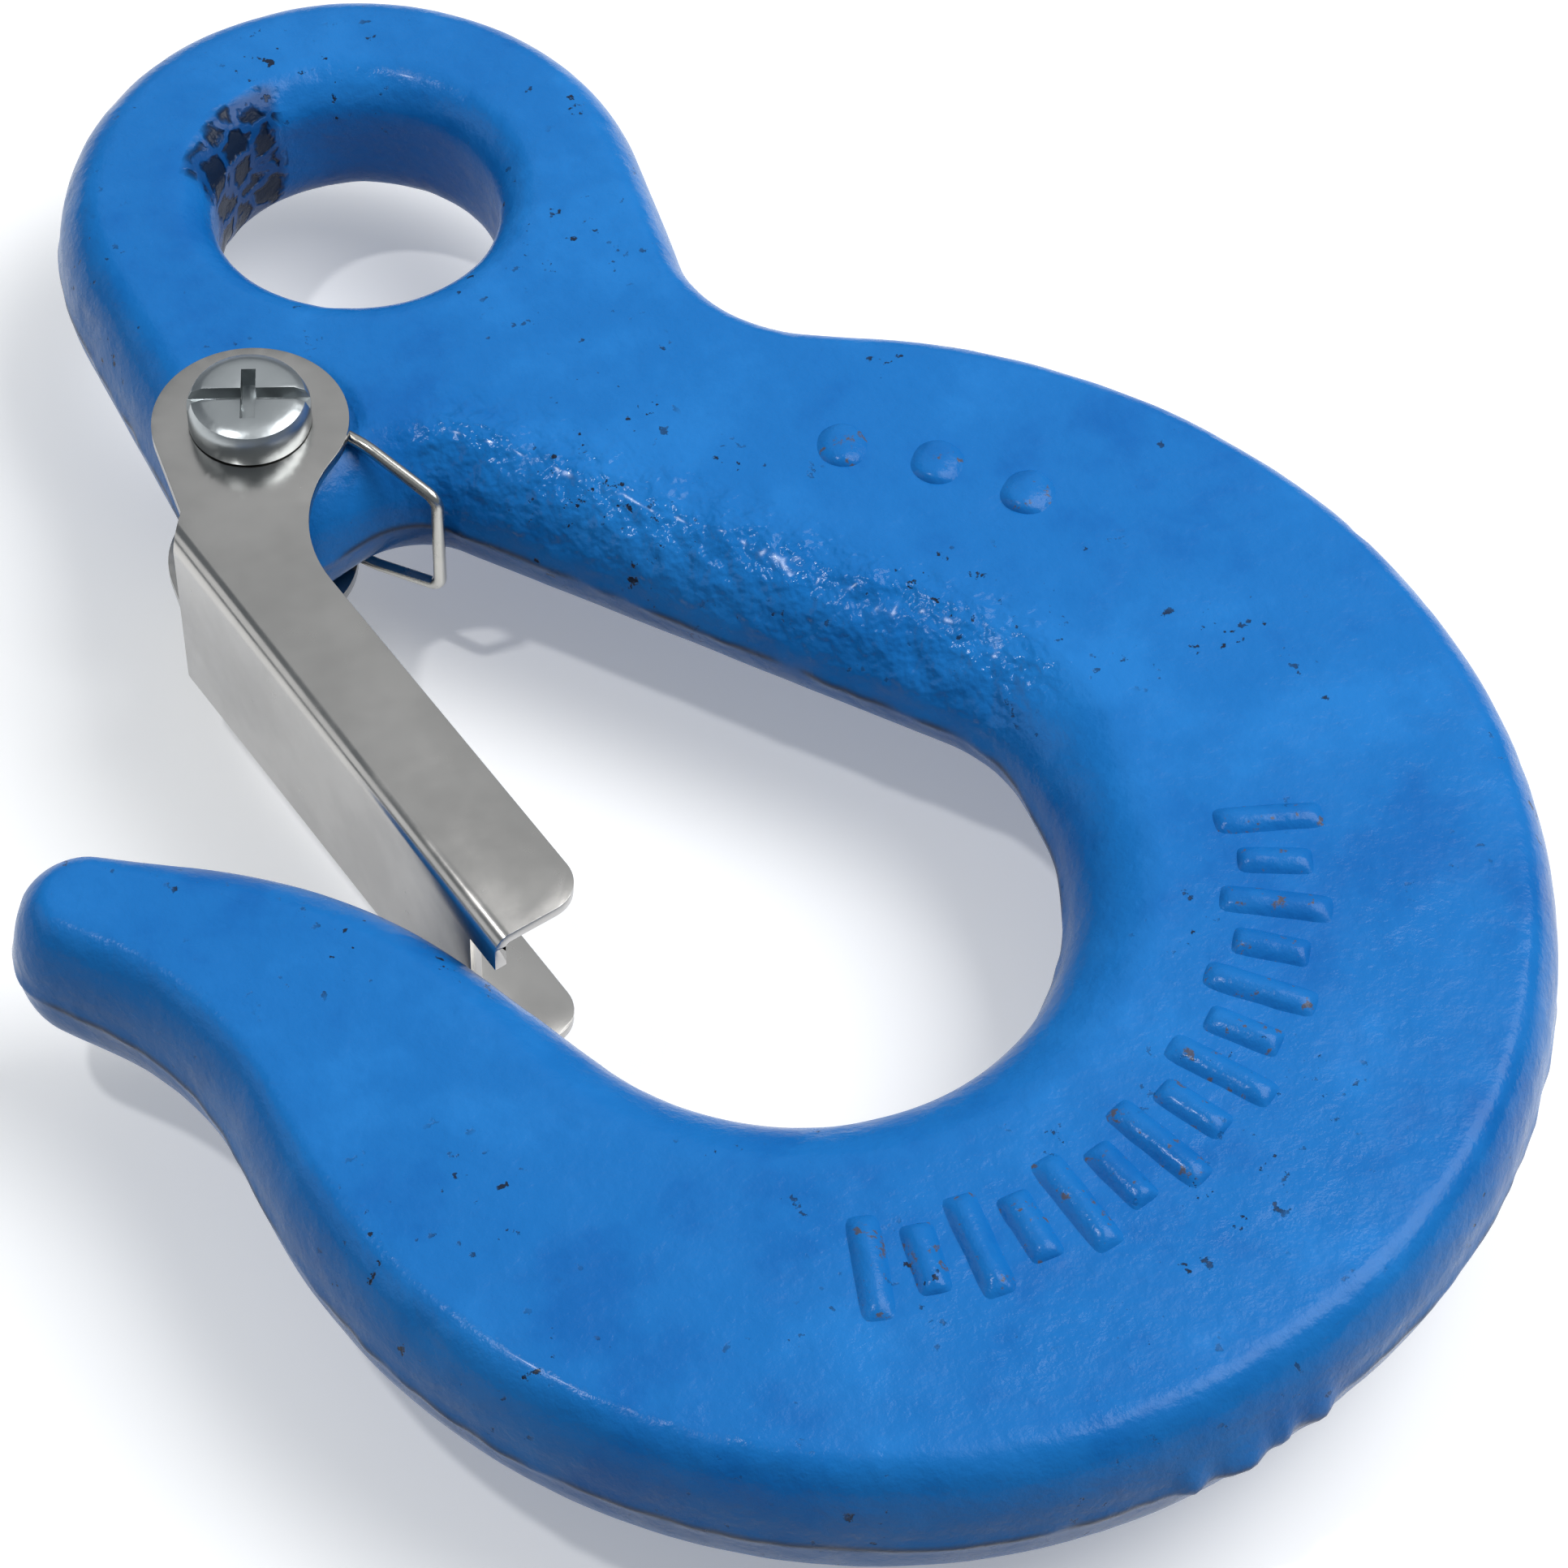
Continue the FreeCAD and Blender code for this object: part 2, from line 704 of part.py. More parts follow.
for item in doc.Objects:
    if "Invalid" in item.State or "Error" in item.State:
        raise RuntimeError("%s did not build: %s" % (item.Label, item.State))
for node in NODES:
    if node.Shape.isNull() or not node.Shape.isValid():
        raise RuntimeError("%s has no valid shape" % node.Label)
    node.Shape.exportStep(os.path.join("parts", node.Label + ".step"))
    print("%-14s %d solid, %.0f cubic mm" % (node.Label, len(node.Shape.Solids), node.Shape.Volume))
print("closed latch at %.2f degrees" % closed_angle())
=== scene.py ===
"""Looks of the safety chain hook, built around its CAD parts.

Blender objects are in metres and in the CAD frame: the origin is the centre of
the eye, +Z goes along the eye's bore and -Y is the load line. The forging is
worked out here in millimetres, as its designer draws it, and scaled once.
"""

import json
import math

import bmesh
import bpy
import numpy as np
from mathutils import Matrix, Vector
from mathutils.geometry import delaunay_2d_cdt


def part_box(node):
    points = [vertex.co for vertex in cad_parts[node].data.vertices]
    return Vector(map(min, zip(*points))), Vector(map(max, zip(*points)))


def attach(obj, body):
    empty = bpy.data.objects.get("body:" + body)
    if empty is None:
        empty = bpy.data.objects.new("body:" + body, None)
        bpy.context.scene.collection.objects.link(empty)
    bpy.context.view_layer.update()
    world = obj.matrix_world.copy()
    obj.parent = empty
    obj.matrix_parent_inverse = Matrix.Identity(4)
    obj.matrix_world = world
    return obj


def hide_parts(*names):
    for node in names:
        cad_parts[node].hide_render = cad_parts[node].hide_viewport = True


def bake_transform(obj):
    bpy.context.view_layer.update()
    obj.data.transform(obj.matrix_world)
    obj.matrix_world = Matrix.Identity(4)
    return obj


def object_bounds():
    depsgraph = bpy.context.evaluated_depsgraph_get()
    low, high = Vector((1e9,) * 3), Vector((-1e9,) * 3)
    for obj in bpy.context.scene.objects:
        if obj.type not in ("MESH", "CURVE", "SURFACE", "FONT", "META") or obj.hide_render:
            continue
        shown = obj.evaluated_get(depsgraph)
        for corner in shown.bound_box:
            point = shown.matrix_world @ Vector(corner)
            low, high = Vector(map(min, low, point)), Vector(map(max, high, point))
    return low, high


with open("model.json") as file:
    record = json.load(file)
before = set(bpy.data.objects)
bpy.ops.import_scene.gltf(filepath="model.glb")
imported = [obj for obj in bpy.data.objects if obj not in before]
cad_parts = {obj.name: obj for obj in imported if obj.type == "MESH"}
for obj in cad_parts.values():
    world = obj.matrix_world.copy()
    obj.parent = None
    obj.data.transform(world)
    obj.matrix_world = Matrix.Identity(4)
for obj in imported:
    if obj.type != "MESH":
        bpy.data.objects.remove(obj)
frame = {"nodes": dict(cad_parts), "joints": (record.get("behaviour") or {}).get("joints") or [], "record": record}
CAD_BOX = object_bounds()
MM = 0.001
WELD_REACH = 0.002           # points closer than this are the same point


# ---------------------------------------------------------------- the sizes

HALF_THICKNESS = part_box("hook_body")[1][2] / MM
HINGE = frame["joints"][0]
PIVOT = np.array(HINGE["pos_m"][:2]) / MM
MOUNTS = {mount["name"]: mount for mount in frame["record"]["mounts"]}
BORE_RADIUS = MOUNTS["eye"]["dims"]["r_mm"]
BORE_WALL = MOUNTS["eye"]["dims"]["length_mm"] / 2
BORE_FLARE = 4.6             # how much wider the bore's mouths are at the faces
BOWL_RADIUS = 25.6
BOWL = np.array([0.0, MOUNTS["bowl_seat"]["pos_m"][1] / MM + BOWL_RADIUS])

SCREW_HOLE = 3.2             # its radius
SPOT_RADIUS = 10.2           # flat faced on the lug under each ear
SPOT_DEPTH = 0.7
SPOT_RUNOUT = 1.2
SPOT_FADE = 4                # over which the skin is smooth outside it

# Rounds of the outline in order: side is 1 where the metal fills the round and
# -1 where it is a hollow, and the flank is the width of the slope up to a face.
# Fullness is 2 on an elliptic flank and 1 on a flat one with a sharp crest.
ROUNDS = [                   # name, side, radius, flank, fullness
    ("eye", 1, 31.0, 5.5, 2.1),
    ("lug", 1, 9.4, 6.0, 1.6),
    ("notch", -1, 7.8, 6.6, 1.4),
    ("corner", -1, 14.4, 8.4, 1.35),
    ("bowl", -1, BOWL_RADIUS, 8.0, 1.55),
    ("crown", 1, 47.5, 6.6, 1.8),
    ("nose", 1, 7.0, 4.2, 1.9),
    ("nape", -1, 29.3, 4.2, 1.8),
    ("heel", 1, 59.4, 4.6, 1.8),
    ("back", 1, 66.0, 4.6, 1.9),
    ("neck", -1, 14.1, 4.6, 2.0),
]
SIDE, ROUND_RADIUS, FLANK, FULLNESS = np.array([row[1:] for row in ROUNDS]).T
RADIUS = {name: radius for (name, *_), radius in zip(ROUNDS, ROUND_RADIUS)}
# Rounds that join two others, with the straight run from each of the two.
JOINING = {
    "crown": ("nose", 5.0, "bowl", 16.5),
    "nape": ("nose", 5.0, "heel", 6.0),
    "neck": ("back", 6.4, "eye", 16.0),
}
CENTRES = {
    "eye": np.array([0.0, 0.0]),
    "lug": PIVOT + [1.3, -1.9],
    "notch": PIVOT + [9.4, -17.9],
    "corner": BOWL + [11.5, 3.1],
    "bowl": BOWL,
    "nose": BOWL + [-59.4, 24.6],
    "heel": BOWL + [2.9, -8.3],
    "back": BOWL + [5.2, -1.3],
}

OUTLINE_STEP = 0.75          # between points along the outline and over the faces
DRILL_STEP = 0.5             # between points round the screw's hole
FLANK_LEVELS = 18            # rows of points from the parting line to a face
FLANK_CROWDING = 1.4         # above 1 puts more of them near the parting line
MOUTH_FULLNESS = 1.9
MOUTH_LEVELS = 12
WALL_LEVELS = 8
FORGING_WELD = 0.01
FACE_MARGIN = 0.6            # of a step, from a face's edges to its own points
SAME_CORNER = 1e-6


# ------------------------------------------------------------ maths helpers

LATTICE = 32                 # cells before the noise repeats


def lattice_noise(points, cell, seed):
    """Smooth noise from -1 to 1: random numbers on a cubic lattice, eased by 3t2 - 2t3."""
    numbers = np.random.default_rng(seed).uniform(-1, 1, (LATTICE,) * 3)
    scaled = np.asarray(points, float) / cell
    corner = np.floor(scaled).astype(int)
    part = scaled - corner
    part = part * part * (3 - 2 * part)
    total = np.zeros(len(scaled))
    for offset in np.ndindex(2, 2, 2):
        weight = np.prod(np.where(offset, part, 1 - part), axis=1)
        index = (corner + offset) % LATTICE
        total += weight * numbers[index[:, 0], index[:, 1], index[:, 2]]
    return total


def waves(points, layers):
    """Layers of noise on top of each other, each given as (height, cell, seed)."""
    return sum(height * lattice_noise(points, cell, seed) for height, cell, seed in layers)


def ease(value, start, end):
    """0 before start, 1 after end, and 3t2 - 2t3 between them."""
    share = np.clip((value - start) / (end - start), 0, 1)
    return share * share * (3 - 2 * share)


def reach_from(centre, points):
    """Distance of each point from an upright line through a centre."""
    return np.hypot(points[:, 0] - centre[0], points[:, 1] - centre[1])


def bearing_from(centre, points):
    """Direction of each point from a centre, in degrees from +X."""
    return np.degrees(np.arctan2(points[:, 1] - centre[1], points[:, 0] - centre[0]))


def unit_ring(radius, step):
    """Points round a circle of radius 1, as many as a step asks for on a larger one."""
    count = int(2 * math.pi * radius / step)
    angle = 2 * math.pi * np.arange(count) / count
    return np.stack([np.cos(angle), np.sin(angle)], axis=1)


# ------------------------------------------------------------- mesh helpers

def grid_faces(rows, columns):
    """Quads of a grid of points stored row by row, where each row is a closed ring."""
    row, column = np.meshgrid(np.arange(rows - 1), np.arange(columns), indexing="ij")
    after = (column + 1) % columns
    quads = [row * columns + column, row * columns + after]
    quads += [(row + 1) * columns + after, (row + 1) * columns + column]
    return np.stack(quads, axis=-1).reshape(-1, 4)


def add_object(name, data):
    made = bpy.data.objects.new(name, data)
    bpy.context.scene.collection.objects.link(made)
    return made


def clean(mesh, merge_mm):
    """Joins points that lie together and turns every face outwards."""
    work = bmesh.new()
    work.from_mesh(mesh)
    if merge_mm:
        bmesh.ops.remove_doubles(work, verts=work.verts, dist=merge_mm * MM)
    bmesh.ops.recalc_face_normals(work, faces=work.faces)
    work.to_mesh(mesh)
    work.free()


def shade_smooth(mesh):
    mesh.polygons.foreach_set("use_smooth", np.ones(len(mesh.polygons), bool))


def make_mesh(name, points_mm, faces, merge_mm=0.0):
    """A clean mesh from points in millimetres and lists of faces."""
    mesh = bpy.data.meshes.new(name)
    mesh.from_pydata((np.asarray(points_mm) * MM).tolist(), [], faces)
    clean(mesh, merge_mm)
    return mesh


def make_piece(name, points_mm, faces, material, body, merge_mm):
    """A smooth piece that rides on a body."""
    mesh = make_mesh(name, points_mm, faces, merge_mm)
    piece = add_object(name, mesh)
    shade_smooth(mesh)
    mesh.materials.append(material)
    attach(piece, body)
    return piece


# -------------------------------------------------------------- the outline

def between(first, reach1, second, reach2):
    """The point at its own distance from each of two others, right of the way between them."""
    along = second - first
    span = np.hypot(*along)
    share = (reach1 ** 2 - reach2 ** 2 + span ** 2) / (2 * span)
    along = along / span
    right = np.array([along[1], -along[0]])
    return first + along * share + right * math.sqrt(reach1 ** 2 - share ** 2)


def place_joining_rounds():
    """A crown lies inside the two rounds that it joins, and a hollow outside them."""
    for name, (first, run1, second, run2) in JOINING.items():
        inner = -1 if name == "crown" else 1
        reach1 = math.hypot(RADIUS[name] + inner * RADIUS[first], run1)
        reach2 = math.hypot(RADIUS[name] + RADIUS[second], run2)
        CENTRES[name] = between(CENTRES[first], reach1, CENTRES[second], reach2)


def tangent_angles(share):
    """Angles of the common tangents' normals between neighbours, at a share of the flanks."""
    radii = ROUND_RADIUS - SIDE * share * FLANK
    centres = np.array([CENTRES[name] for name, *_ in ROUNDS])
    along = np.roll(centres, -1, axis=0) - centres
    turn = np.roll(SIDE * radii, -1) - SIDE * radii
    lean = np.arcsin(turn / np.hypot(along[:, 0], along[:, 1]))
    return radii, centres, np.arctan2(along[:, 1], along[:, 0]) - math.pi / 2 - lean


def sweep_of(index, normals):
    """The angle that the belt turns through on a round."""
    sweep = (normals[index] - normals[index - 1] + math.pi) % (2 * math.pi) - math.pi
    return sweep + 2 * math.pi if SIDE[index] > 0 > sweep else sweep


def outline(share, counts):
    """Points of the belt, moved into the metal by a share of each flank.

    The belt runs round each circle, from the normal of one tangent to that of the
    next, and along the tangent. Each stretch has a fixed count of points.
    """
    radii, centres, normals = tangent_angles(share)
    reach = SIDE * radii
    stretches = []
    for index, (arc_count, line_count) in enumerate(counts):
        turned = sweep_of(index, normals) * np.arange(arc_count) / arc_count
        angle = normals[index - 1] + turned
        ring = np.stack([np.cos(angle), np.sin(angle)], axis=1)
        stretches.append(centres[index] + ring * reach[index])
        after = (index + 1) % len(ROUNDS)
        normal = np.array([math.cos(normals[index]), math.sin(normals[index])])
        leave = centres[index] + normal * reach[index]
        arrive = centres[after] + normal * reach[after]
        along = np.arange(line_count)[:, None] / line_count
        stretches.append(leave + (arrive - leave) * along)
    return np.concatenate(stretches)


def stretch_counts():
    """How many points each arc and each tangent gets, for an even step along the belt."""
    radii, centres, normals = tangent_angles(0)
    counts = []
    for index, radius in enumerate(radii):
        after = (index + 1) % len(ROUNDS)
        gap = np.hypot(*(centres[after] - centres[index]))
        slack = SIDE[after] * radii[after] - SIDE[index] * radius
        lengths = (sweep_of(index, normals) * radius, math.sqrt(gap ** 2 - slack ** 2))
        counts.append([max(3, round(abs(length) / OUTLINE_STEP)) for length in lengths])
    return counts


def along_belt(values, counts):
    """One value for each round, kept round its arc and eased along the tangent to the next."""
    stretches = []
    for index, (arc_count, line_count) in enumerate(counts):
        after = values[(index + 1) % len(ROUNDS)]
        stretches.append(np.full(arc_count, values[index]))
        blend = ease(np.arange(line_count) / line_count, 0, 1)
        stretches.append(values[index] + (after - values[index]) * blend)
    return np.concatenate(stretches)


# -------------------------------------------------------------- the forging

FLASH_RIDGE = 0.22           # what the trimming leaves standing on the parting line
FLASH_HALF_HEIGHT = 0.8
FLASH_RANGE = (0.1, 2)       # of its height
FLASH_RAGGED = ((0.7, 2.3, 11), (0.5, 7.0, 12))
FLASH_LUMPS = [              # bearing from the bowl, half width and height of torn flash
    (-88.4, 1.5, 0.9),
    (-84.2, 1.9, 1.5),
    (-80.6, 1.0, 0.8),
    (-77.6, 1.6, 1.3),
]
LUMP_LEVEL = 0.4             # height of a lump's middle over the parting line
LUMP_HALF_HEIGHT = 2.1
LUMP_RAGGED = ((0.35, 1.6, 13),)


def flank_grid(counts):
    """The sides of the forging: the outline moved in and up along a rounded flank.

    With a share u of the flank left to go, the height is the half thickness
    times the root of 1 - u to the fullness of the flank at that place.
    """
    steps = np.arange(FLANK_LEVELS + 1) / FLANK_LEVELS
    turned = (math.pi / 2) * steps ** FLANK_CROWDING
    shares = 1 - np.cos(turned) ** (2 / FULLNESS.mean())
    fullness = along_belt(FULLNESS, counts)
    rings = [outline(share, counts) for share in shares]
    heights = [HALF_THICKNESS * np.sqrt(1 - (1 - share) ** fullness) for share in shares]
    rows = [np.column_stack([ring, height]) for ring, height in zip(rings, heights)]
    lower = [row * [1, 1, -1] for row in rows[:0:-1]]
    return np.array(lower + rows), rings[-1]


def add_flash(rows):
    """The trimmed flash along the parting line, and the torn lumps under the bowl."""
    edge = rows[FLANK_LEVELS, :, :2]
    along = np.roll(edge, -1, axis=0) - np.roll(edge, 1, axis=0)
    outward = np.stack([along[:, 1], -along[:, 0]], axis=1)
    outward /= np.hypot(outward[:, 0], outward[:, 1])[:, None]
    spine = np.column_stack([edge, np.zeros(len(edge))])
    ridge = FLASH_RIDGE * np.clip(1 + waves(spine, FLASH_RAGGED), *FLASH_RANGE)
    bearing = bearing_from(BOWL, edge)
    lump = sum(
        height * np.exp(-(((bearing - middle) / half_width) ** 2))
        for middle, half_width, height in FLASH_LUMPS
    )
    lump *= (reach_from(BOWL, edge) > 1.5 * BOWL_RADIUS) * (1 + waves(spine, LUMP_RAGGED))
    level = rows[:, :, 2]
    proud = ridge * np.exp(-((level / FLASH_HALF_HEIGHT) ** 2))
    proud = proud + lump * np.exp(-(((level - LUMP_LEVEL) / LUMP_HALF_HEIGHT) ** 2))
    rows[:, :, :2] += proud[:, :, None] * outward
    return rows


def bore_rows():
    """The eye's bore: a straight wall, then mouths that round out to each face."""
    lift = (math.pi / 2) * np.arange(MOUTH_LEVELS + 1) / MOUTH_LEVELS
    flare = BORE_FLARE * (1 - np.cos(lift) ** (2 / MOUTH_FULLNESS))
    heights = BORE_WALL + (HALF_THICKNESS - BORE_WALL) * np.sin(lift)
    wall = np.linspace(-BORE_WALL, BORE_WALL, WALL_LEVELS + 1)[1:-1]
    radii = np.concatenate([flare[::-1], np.zeros(len(wall)), flare]) + BORE_RADIUS
    levels = np.concatenate([-heights[::-1], wall, heights])
    ring = unit_ring(BORE_RADIUS + BORE_FLARE, OUTLINE_STEP)
    rows = [np.column_stack([ring * r, np.full(len(ring), z)]) for r, z in zip(radii, levels)]
    return np.array(rows)


def drill(piece, centre, radius):
    """Cuts a straight round hole through a closed piece, from face to face."""
    ring = centre + radius * unit_ring(radius, DRILL_STEP)
    count = len(ring)
    depth = 1.5 * HALF_THICKNESS
    points = [np.column_stack([ring, np.full(count, z)]) for z in (-depth, depth)]
    ends = [list(range(count)), list(range(count, 2 * count))]
    faces = grid_faces(2, count).tolist() + ends
    tool = add_object("drill", make_mesh("drill", np.concatenate(points), faces))
    cut = piece.modifiers.new("drilled", "BOOLEAN")
    cut.operation = "DIFFERENCE"
    cut.solver = "EXACT"
    cut.object = tool
    shown = piece.evaluated_get(bpy.context.evaluated_depsgraph_get())
    drilled = bpy.data.meshes.new_from_object(shown)
    piece.modifiers.clear()
    piece.data = drilled
    shade_smooth(drilled)
    bpy.data.objects.remove(tool)


def in_chunks(count, size=4000):
    """Slices that share out a long count, so that a table of distances stays small."""
    return [slice(start, start + size) for start in range(0, count, size)]


def inside(points, loop):
    """Which points lie in a closed loop: an odd number of its edges lies to their right."""
    x1, y1 = loop.T
    x2, y2 = np.roll(loop, -1, axis=0).T
    held = np.zeros(len(points), bool)
    for chunk in in_chunks(len(points)):
        x, y = points[chunk].T[:, :, None]
        spans = (y1 > y) != (y2 > y)
        crossing = x1 + (y - y1) * (x2 - x1) / np.where(y2 == y1, 1, y2 - y1)
        held[chunk] = (spans & (x < crossing)).sum(axis=1) % 2 == 1
    return held


def clearance(points, line):
    """Distance from each point to the nearest point of a line or loop."""
    nearest = np.empty(len(points))
    for chunk in in_chunks(len(points)):
        gaps = points[chunk, None, :] - line[None, :, :]
        nearest[chunk] = np.sqrt((gaps ** 2).sum(axis=2).min(axis=1))
    return nearest


def face_mesh(crest, mouth):
    """A flat face between its crest and the eye's mouth, filled with even triangles."""
    low, high = crest.min(axis=0), crest.max(axis=0)
    x = np.arange(low[0], high[0], OUTLINE_STEP)
    y = np.arange(low[1], high[1], OUTLINE_STEP * math.sqrt(3) / 2)
    grid_x, grid_y = np.meshgrid(x, y)
    grid_x[1::2] += OUTLINE_STEP / 2
    points = np.column_stack([grid_x.ravel(), grid_y.ravel()])
    points = points[inside(points, crest) & ~inside(points, mouth)]
    edges = []
    first = 0
    for loop in (crest, mouth):
        points = points[clearance(points, loop) > FACE_MARGIN * OUTLINE_STEP]
        numbers = np.arange(len(loop))
        edges += np.column_stack([numbers + first, (numbers + 1) % len(loop) + first]).tolist()
        first += len(loop)
    corners = [Vector(point) for point in np.concatenate([crest, mouth, points])]
    corners, _, triangles, *_ = delaunay_2d_cdt(corners, edges, [], 0, SAME_CORNER)
    corners = np.array(corners)
    triangles = np.array(triangles)
    middles = corners[triangles].mean(axis=1)
    return corners, triangles[inside(middles, crest) & ~inside(middles, mouth)]


def face_seats(points):
    """Flats faced on the lug under the ears, which keep the metal below the ears' level."""
    left = ease(reach_from(PIVOT, points), SPOT_RADIUS, SPOT_RADIUS + SPOT_RUNOUT)
    limit = HALF_THICKNESS - SPOT_DEPTH * (1 - left)
    points[:, 2] = np.clip(points[:, 2], -limit, limit)
    return points


def make_forging(material):
    """Sides, bore and two flat faces as one closed piece, which is drilled and roughened."""
    counts = stretch_counts()
    rows, crest = flank_grid(counts)
    rows = add_flash(rows)
    bore = bore_rows()
    face, triangles = face_mesh(crest, bore[0, :, :2])
    points = []
    faces = []
    first = 0
    for block in (rows, bore):
        faces += (grid_faces(*block.shape[:2]) + first).tolist()
        points.append(block.reshape(-1, 3))
        first += block.shape[0] * block.shape[1]
    for level in (HALF_THICKNESS, -HALF_THICKNESS):
        points.append(np.column_stack([face, np.full(len(face), level)]))
        faces += (triangles + first).tolist()
        first += len(face)
    points = face_seats(np.concatenate(points))
    piece = make_piece("forged_hook", points, faces, material, "hook", FORGING_WELD)
    drill(piece, PIVOT, SCREW_HOLE)
    forged_skin(piece)
    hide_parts("hook_body")


# ------------------------------------------------------- the forging's skin

# Waves are given as (height, cell, seed), and a fade as where it starts and ends.
SKIN_WAVES = ((0.10, 14.0, 1), (0.045, 5.0, 2), (0.022, 1.9, 3))
THROAT_WAVES = ((0.12, 1.5, 6), (0.22, 2.9, 7))
PATCH_WAVES = ((0.16, 2.6, 8), (0.08, 1.3, 9))

DENT_DEPTH = 0.35
DENT_CELL = 3.4
DENT_RARITY = 0.45           # 0 would dent half of the skin, and 1 none of it
DENTED_AREA_CELL = 16.0

PATCH_START = (94, 99)       # bearings from the eye's centre
PATCH_END = (146, 152)
PATCH_RIM = (2.6, 3.4)       # outside the bore
PATCH_FOOT = (-7.5, -6.0)    # levels
PATCH_RAGGED = ((5, 3.0, 21),)
PATCH_RIM_RAGGED = 0.15      # millimetres for each degree at its ends

THROAT_SPAN = (-0.05, 1.0, 60)
THROAT_DEPTH = 4.5           # from the hollow's edge to the middle of the scaly slope
THROAT_EDGE = (3.0, 9.5)     # from that middle
THROAT_END = (0, 12)         # from the corner's centre
THROAT_LEVEL = (1.0, 3.0)

# A broken dark line along the parting line, this strong at its darkest.
LINE_DARKNESS = 0.85
LINE_HALF_HEIGHT = 0.42
LINE_CELL = 3.5
LINE_GAPS = (-0.9, 0.1)      # noise under the first leaves no line
LINE_BORE = (4, 8)           # outside the bore


def scale_patch(points):
    """How much a point lies in the patch of flaked scale inside the eye, from 0 to 1; the paint there is also
    darkened as painted shade of the bore.
    """
    ragged = waves(points, PATCH_RAGGED)
    bearing = bearing_from(CENTRES["eye"], points) + ragged
    outside = reach_from(CENTRES["eye"], points) - BORE_RADIUS + PATCH_RIM_RAGGED * ragged
    across = ease(bearing, *PATCH_START) * (1 - ease(bearing, *PATCH_END))
    return across * (1 - ease(outside, *PATCH_RIM)) * ease(points[:, 2], *PATCH_FOOT)


def throat_line():
    """Points along the middle of the scaly slope, from the notch to the corner."""
    notch = CENTRES["notch"]
    corner = CENTRES["corner"]
    along = (corner - notch) / np.hypot(*(corner - notch))
    side = np.array([-along[1], along[0]])
    share = np.linspace(*THROAT_SPAN)[:, None]
    reach = RADIUS["notch"] + (RADIUS["corner"] - RADIUS["notch"]) * share
    return notch + (corner - notch) * share + side * (reach + THROAT_DEPTH)


def throat_scale(points):
    """How much a point lies on the scaly slope along the shank's throat side, from 0 to 1."""
    throat = 1 - ease(clearance(points[:, :2], throat_line()), *THROAT_EDGE)
    throat *= ease(reach_from(CENTRES["corner"], points), *THROAT_END)
    return throat * ease(points[:, 2], *THROAT_LEVEL)


def parting_line_dark(points):
    """Broken dark line where the flash was trimmed, but not in the eye's bore."""
    line = np.exp(-((points[:, 2] / LINE_HALF_HEIGHT) ** 2))
    line *= ease(lattice_noise(points, LINE_CELL, 10), *LINE_GAPS)
    outside = reach_from(CENTRES["eye"], points) - BORE_RADIUS
    return LINE_DARKNESS * line * ease(outside, *LINE_BORE)


def forged_skin(piece):
    """Shallow waves, scale and dents of the forging, along each point's own normal."""
    mesh = piece.data
    count = len(mesh.vertices)
    points = np.empty(count * 3)
    mesh.vertices.foreach_get("co", points)
    normals = np.empty(count * 3)
    mesh.vertex_normals.foreach_get("vector", normals)
    points = points.reshape(-1, 3) / MM
    normals = normals.reshape(-1, 3)

    throat = throat_scale(points)
    patch = scale_patch(points)
    dents = np.clip(lattice_noise(points, DENT_CELL, 4) - DENT_RARITY, 0, 1)
    dents *= np.clip(0.5 + lattice_noise(points, DENTED_AREA_CELL, 5), 0, 1)
    depth = waves(points, SKIN_WAVES) - DENT_DEPTH * dents
    depth += throat * waves(points, THROAT_WAVES) + patch * waves(points, PATCH_WAVES)
    depth *= ease(reach_from(PIVOT, points), SPOT_RADIUS, SPOT_RADIUS + SPOT_FADE)

    marks = {"parting_dark": parting_line_dark(points), "scaly": throat, "flaked_and_shaded": patch}
    for name, values in marks.items():
        attribute = mesh.attributes.new(name, "FLOAT", "POINT")
        attribute.data.foreach_set("value", values.astype(np.float32))
    points += normals * depth[:, None]
    mesh.vertices.foreach_set("co", (points * MM).ravel())
    mesh.update()


# --------------------------------------------------------- the raised marks

MARK_RELIEF = 0.85
MARK_SKIRT = 0.15            # a mark's edge lies this far under the face
MARK_ROOT = 0.5              # and its lowest point this far under its edge
MARK_TURNS = 40
MARK_LEVELS = 20
MARK_WAVES = ((0.06, 1.6, 31),)
BAR_REACH = 44.0             # from the bowl's centre to the middle of the arc of bars
BAR_BEARINGS = np.linspace(-110, -22, 15)
BAR_HALF_LENGTHS = (5.3, 3.6)
BAR_HALF_WIDTH = 1.75
BAR_SQUARENESS = 8           # 2 is a round, and more is a rectangle with rounder corners
PIP_REACH = 49.5
PIP_BEARINGS = (56, 45, 34)
PIP_RADIUS = 2.9


def pillow(bearing, reach, half_length, half_width, squareness):
    """One raised mark, closed, as rows from its lowest point over its edge to its middle.

    At a share s of the way out and a turn t, u and v are s times cos t and sin t over
    the root of the squareness of the sum of their powers. The height over and under
    the edge goes with (1 - s to the 8th)(1 - v squared).
    """
    turn = 2 * math.pi * np.arange(MARK_TURNS) / MARK_TURNS
    rise = np.linspace(0, math.pi, MARK_LEVELS + 1)[:, None]
    powers = np.abs(np.cos(turn)) ** squareness + np.abs(np.sin(turn)) ** squareness
    edge = powers ** (1 / squareness)
    share = np.sin(rise)
    u = share * np.cos(turn) / edge
    v = share * np.sin(turn) / edge
    height = (1 - share ** 8) * (1 - v * v)
    height = height * np.where(rise < math.pi / 2, -MARK_ROOT, MARK_SKIRT + MARK_RELIEF)
    outward = np.array([math.cos(math.radians(bearing)), math.sin(math.radians(bearing))])
    aside = np.array([-outward[1], outward[0]])
    place = BOWL + outward * reach + u[..., None] * half_length * outward
    place = place + v[..., None] * half_width * aside
    return np.dstack([place, HALF_THICKNESS - MARK_SKIRT + height])


